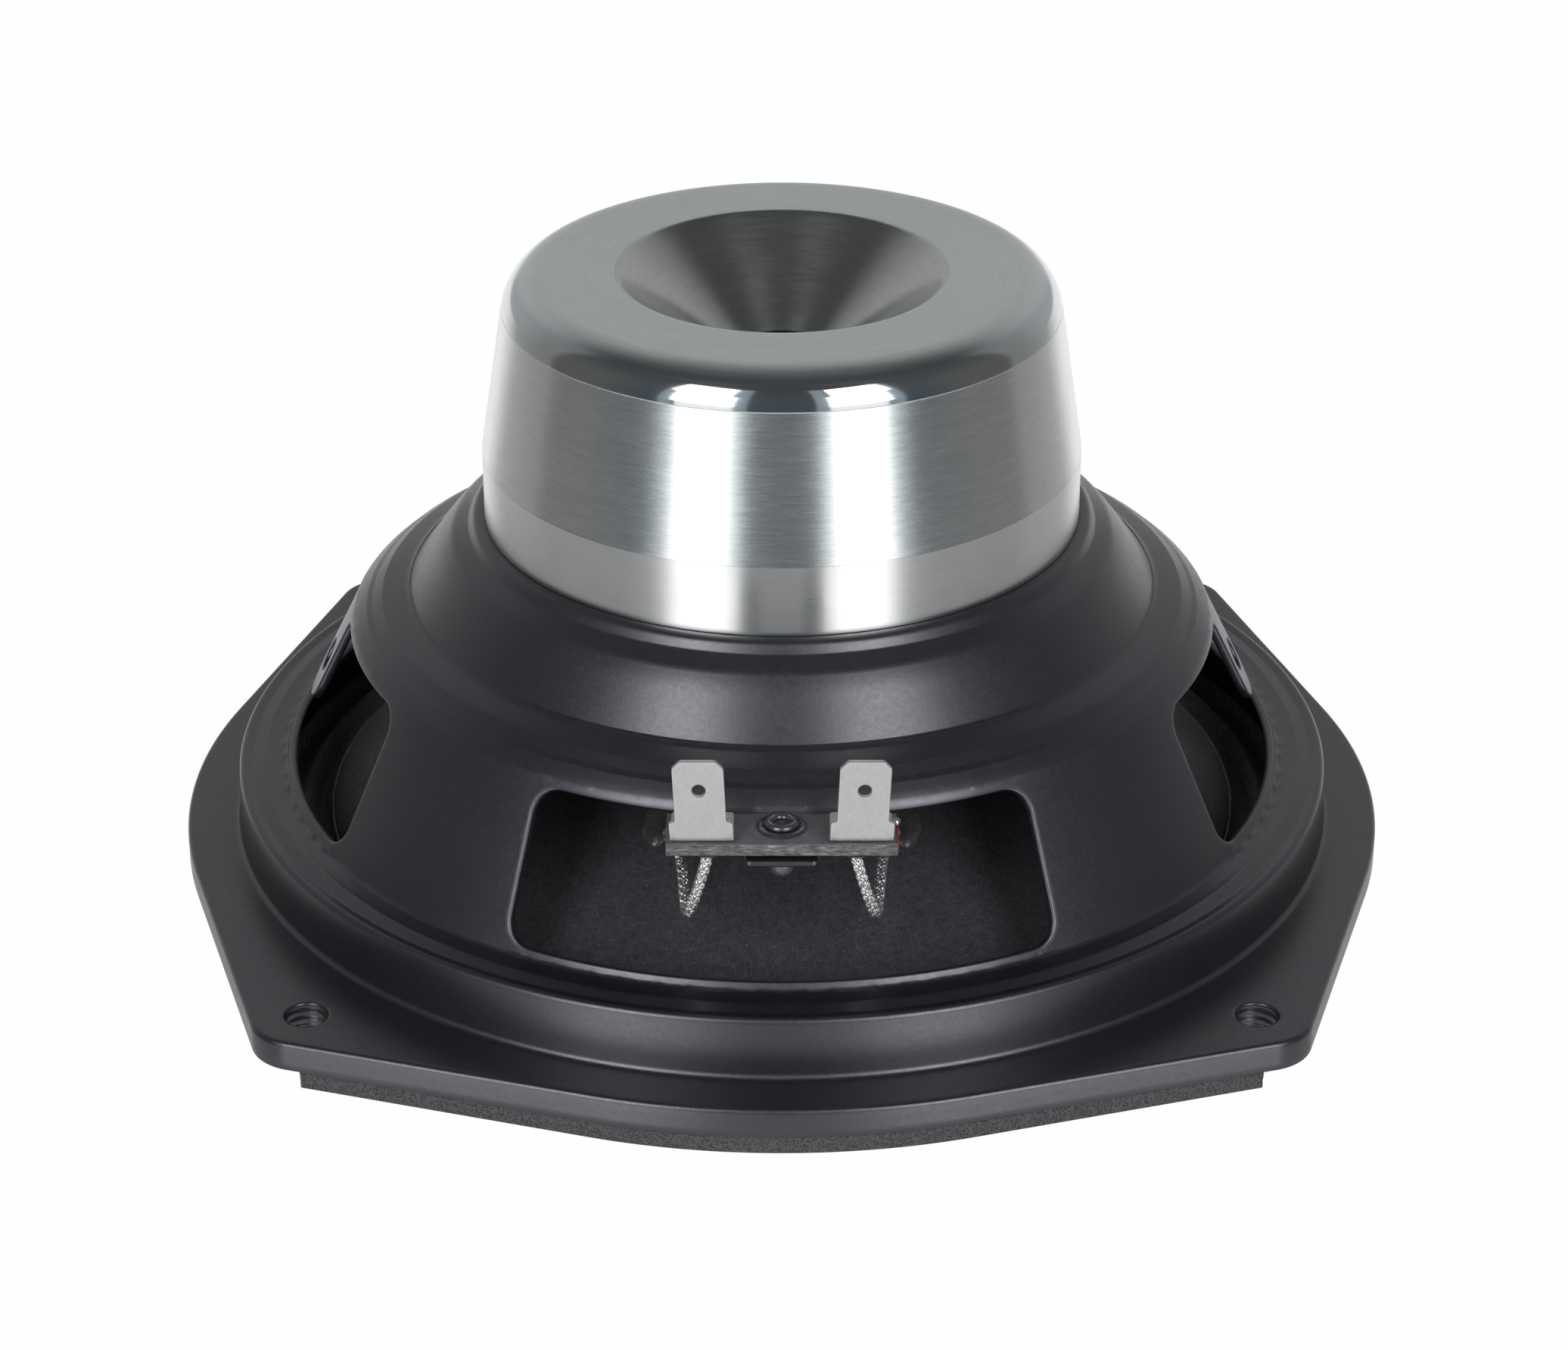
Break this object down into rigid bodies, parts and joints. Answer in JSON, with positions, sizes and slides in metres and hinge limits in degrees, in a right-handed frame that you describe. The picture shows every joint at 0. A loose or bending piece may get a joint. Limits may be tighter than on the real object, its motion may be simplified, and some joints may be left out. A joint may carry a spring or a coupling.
{
  "type": "woofer driver",
  "caption": "Vented woofer driver in an eared pressed-steel basket: paper cone on a corrugated cloth surround, tapered steel motor with a flared vent, tab terminals, foam gasket.",
  "frame": {"origin": "centre of the front gasket's face, on the driver's axis, so the driver stands face down on z = 0", "axes": "+Z along the driver's axis from the gasket to the motor's rear face; -Y towards the terminals; bolt holes on the diagonals"},
  "size_m": [0.1644, 0.1644, 0.0837],
  "materials": {
    "black_paint": "satin black paint on pressed steel",
    "foam": "closed-cell foam",
    "fibre": "pressed fibre board",
    "turned_steel": "turned, plated steel",
    "plate_steel": "turned, plated steel",
    "magnet": "nickel-plated sintered magnet",
    "aluminium": "turned aluminium",
    "zinc": "zinc-plated steel",
    "paper": "pressed black paper pulp with loose fibres",
    "cap_paper": "pressed black paper",
    "former": "amber film former",
    "coil_wire": "enamelled copper winding",
    "cloth": "resin-treated corrugated cloth",
    "phenolic_cloth": "phenolic-treated woven cloth",
    "glue": "glossy black adhesive",
    "laminate": "charcoal fibre laminate",
    "tin": "tin-plated brass",
    "black_eyelet": "blackened brass",
    "braid": "braided tinsel wire"
  },
  "bodies": {
    "frame": {"basket": "black_paint", "clamp_ring": "fibre", "motor_pot": "turned_steel", "front_plate": "plate_steel", "magnet_ring": "magnet", "pole_plate": "plate_steel", "shorting_ring": "aluminium", "surround": "cloth", "spider": "phenolic_cloth", "terminal_board": "laminate", "terminal_rivet": "black_eyelet", "rivet_washer": "black_eyelet", "gasket_front": "foam", "gasket_back": "foam", "gasket_left": "foam", "gasket_right": "foam", "motor_screw_1": "zinc", "motor_screw_2": "zinc", "motor_screw_3": "zinc", "motor_screw_4": "zinc", "terminal_tab_left": "tin", "tinsel_lead_left": "braid", "terminal_tab_right": "tin", "tinsel_lead_right": "braid"},
    "moving_assembly": {"cone": "paper", "dust_cap": "cap_paper", "voice_coil_former": "former", "voice_coil": "coil_wire", "lead_glue_left": "glue", "lead_glue_right": "glue"}
  },
  "joints": [
    {"name": "cone_travel", "type": "slide", "parent": "frame", "child": "moving_assembly", "axis": [0, 0, 1], "range_m": [-0.004, 0.004], "stiffness_N_per_m": 2500, "deforming": ["surround", "spider", "tinsel_lead_left", "tinsel_lead_right"]}
  ]
}
